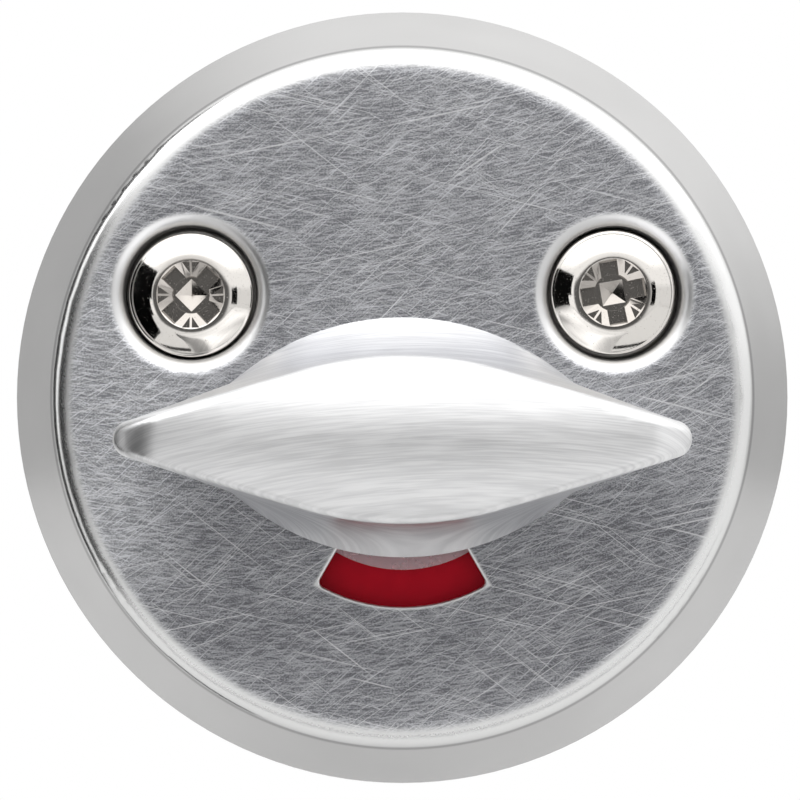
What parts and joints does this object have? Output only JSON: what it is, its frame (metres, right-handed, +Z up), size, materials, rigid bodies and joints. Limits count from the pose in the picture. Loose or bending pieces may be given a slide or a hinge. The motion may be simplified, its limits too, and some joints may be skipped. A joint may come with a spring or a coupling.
{
  "type": "bathroom thumb turn lock",
  "caption": "Round brushed rose with an eccentric winged thumb turn that turns a quarter, a red indicator window, a square spindle and through screws.",
  "frame": {"origin": "where the spindle axis meets the door face", "axes": "+Z up as fitted, front faces -Y, +Y into the door along the spindle, +X to the right seen from the front"},
  "size_m": [0.056, 0.069, 0.056],
  "materials": {
    "brushed_stainless": "brushed, lightly scratched",
    "satin_nickel": "fine satin",
    "nickel_screw": "bright nickel",
    "indicator_red": "gloss, red field and white field",
    "natural_nylon": "translucent moulded",
    "carrier_grey": "fine moulded",
    "spring_wire": "drawn wire",
    "zinc_plate": "bright zinc",
    "phosphated_steel": "dark phosphate"
  },
  "bodies": {
    "rose": {"rose_cover": "brushed_stainless", "base_plate": "carrier_grey", "neck_bush": "natural_nylon", "detent_spring": "spring_wire", "fixing_screw_left": "nickel_screw", "fixing_screw_right": "nickel_screw"},
    "turn": {"thumb_turn": "satin_nickel", "indicator_disc": "indicator_red", "thrust_washer": "zinc_plate", "retaining_ring": "phosphated_steel", "spindle": "zinc_plate", "spindle_pin": "spring_wire"}
  },
  "joints": [
    {"name": "thumb_turn_axis", "type": "hinge", "parent": "rose", "child": "turn", "pos_m": [0, 0, 0], "axis": [0, 1, 0], "range_deg": [0, 90], "deforming": ["detent_spring"]}
  ]
}
